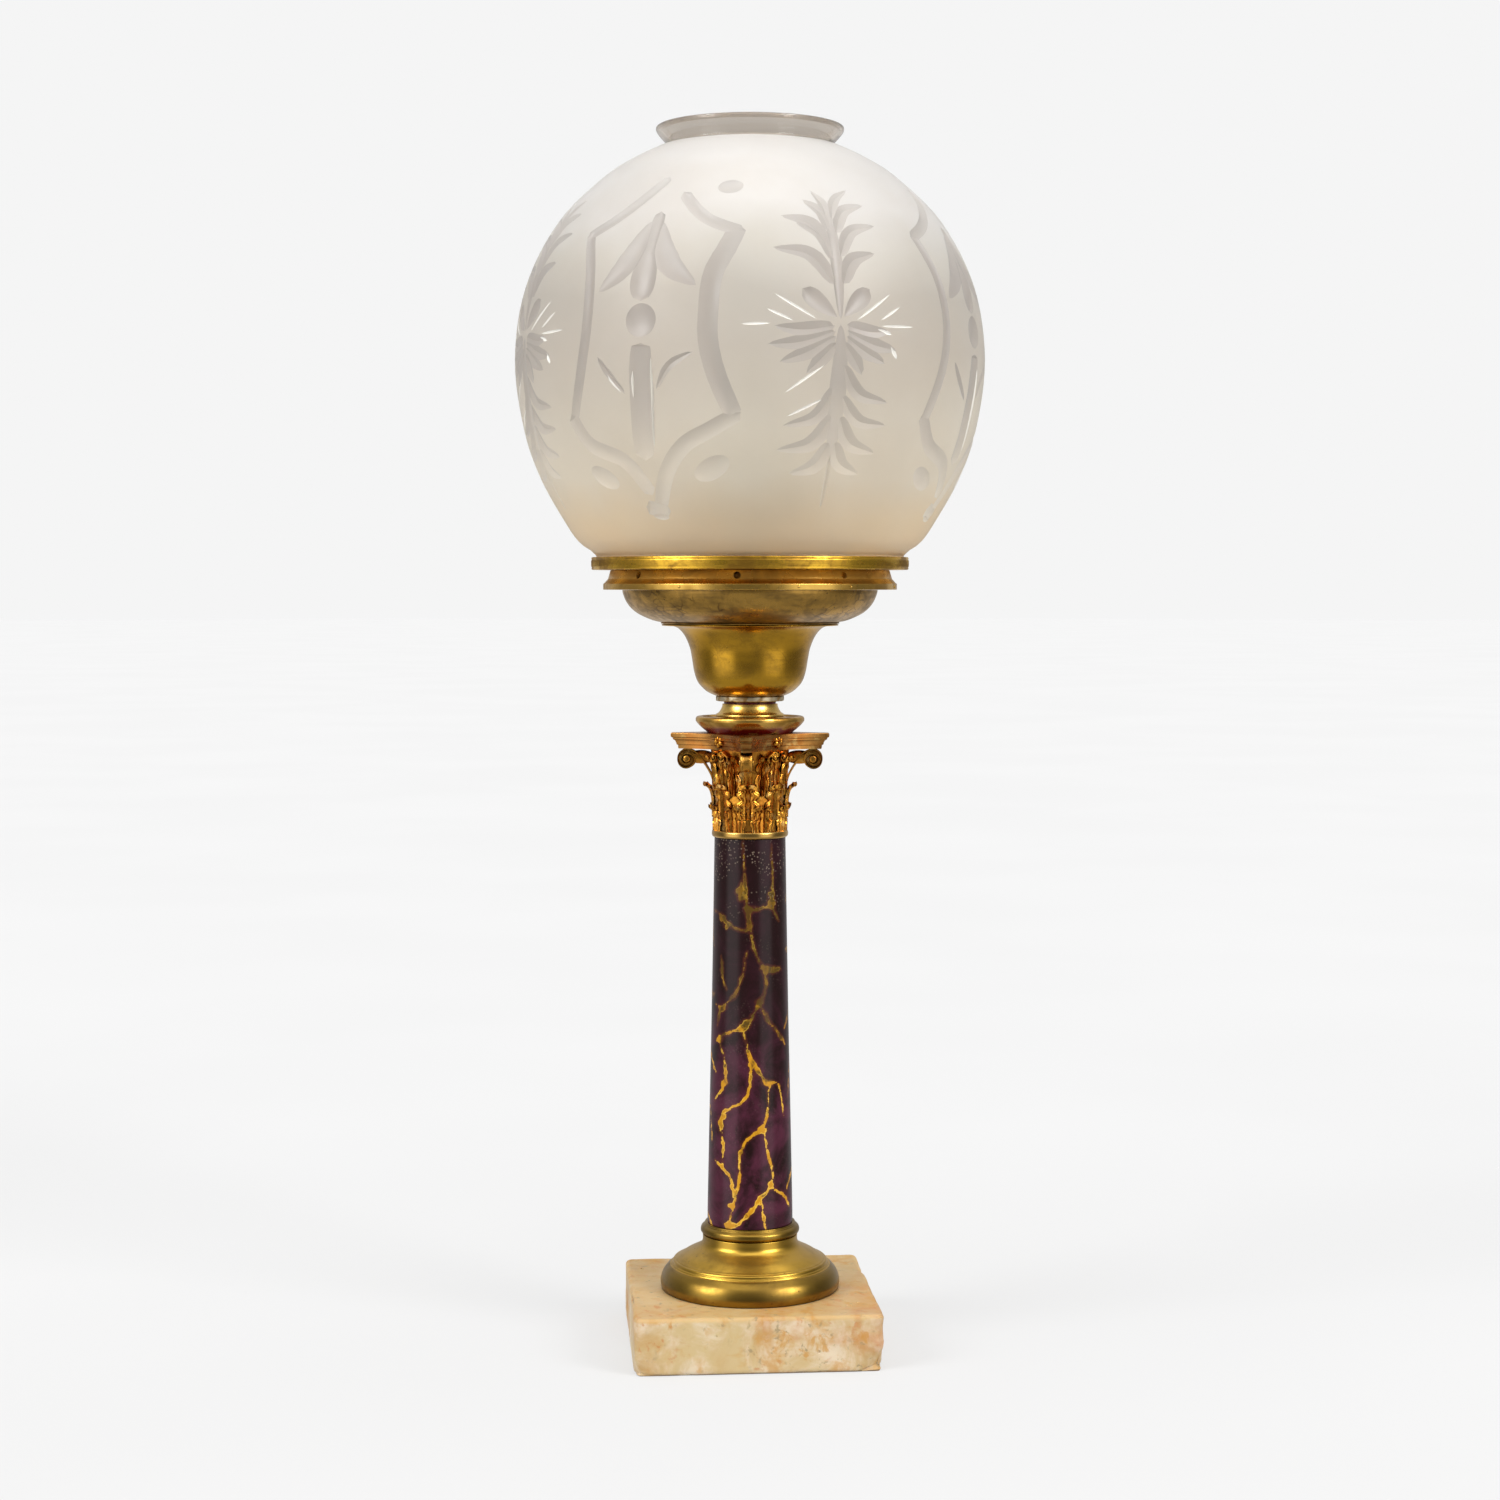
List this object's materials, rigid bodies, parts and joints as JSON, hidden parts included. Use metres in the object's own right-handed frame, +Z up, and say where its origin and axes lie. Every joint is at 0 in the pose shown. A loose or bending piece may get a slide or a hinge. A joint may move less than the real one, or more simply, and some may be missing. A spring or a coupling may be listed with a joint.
{
  "type": "astral lamp",
  "caption": "Table oil lamp with a square stone plinth, painted column, Corinthian capital, brass font with a draught burner, and a cut globe that lifts off.",
  "frame": {"origin": "centre of the plinth's underside, on the surface that the lamp stands on", "axes": "+Z up along the lamp's axis, X and Y square to the plinth's sides, -Y towards the front of the picture"},
  "size_m": [0.2416, 0.2416, 0.6316],
  "materials": {
    "marble": "honed cream marble with rust stains",
    "iron": "dark wrought iron",
    "satin_brass": "satin, aged",
    "marbled_paint": "gloss, dark ground with ochre veins",
    "gilt": "gilt casting",
    "lacquered_brass": "brass with worn dark lacquer",
    "worn_brass": "mottled, dull patina",
    "burner_brass": "plain brass",
    "tinned": "tinned white metal",
    "frosted_glass": "ground outside with polished wheel cuts",
    "clear_glass": "clear, polished",
    "cotton": "woven wick"
  },
  "bodies": {
    "lamp": {"plinth": "marble", "rod_washer": "iron", "rod_nut": "iron", "tie_rod": "iron", "foot": "satin_brass", "base_bead": "satin_brass", "column": "marbled_paint", "astragal": "gilt", "capital": "gilt", "socle": "lacquered_brass", "spool": "worn_brass", "font_spacer": "iron", "font_collar": "tinned", "top_nut": "iron", "font_bell": "worn_brass", "font_bowl": "worn_brass", "font_top": "worn_brass", "draught_tube": "burner_brass", "burner_tube": "burner_brass", "vent_band": "worn_brass", "shade_ring": "worn_brass"},
    "raiser": {"raiser_sleeve": "burner_brass", "chimney_gallery": "burner_brass", "deflector": "burner_brass"},
    "wick_lift": {"wick_carrier": "burner_brass", "wick": "cotton"},
    "chimney": {"chimney": "clear_glass"},
    "shade": {"globe": "frosted_glass"}
  },
  "joints": [
    {"name": "raiser_turn", "type": "hinge", "parent": "lamp", "child": "raiser", "pos_m": [0, 0, 0.43], "axis": [0, 0, 1], "range_deg": [0, 330]},
    {"name": "wick_rise", "type": "slide", "parent": "raiser", "child": "wick_lift", "axis": [0, 0, 1], "range_m": [0, 0.0112]},
    {"name": "chimney_lift", "type": "slide", "parent": "raiser", "child": "chimney", "axis": [0, 0, 1], "range_m": [0, 0.215]},
    {"name": "shade_lift", "type": "slide", "parent": "lamp", "child": "shade", "axis": [0, 0, 1], "range_m": [0, 0.205]}
  ],
  "couplings": [
    {"joint": "wick_rise", "follows": "raiser_turn", "m_per_rad": 0.0019099}
  ]
}
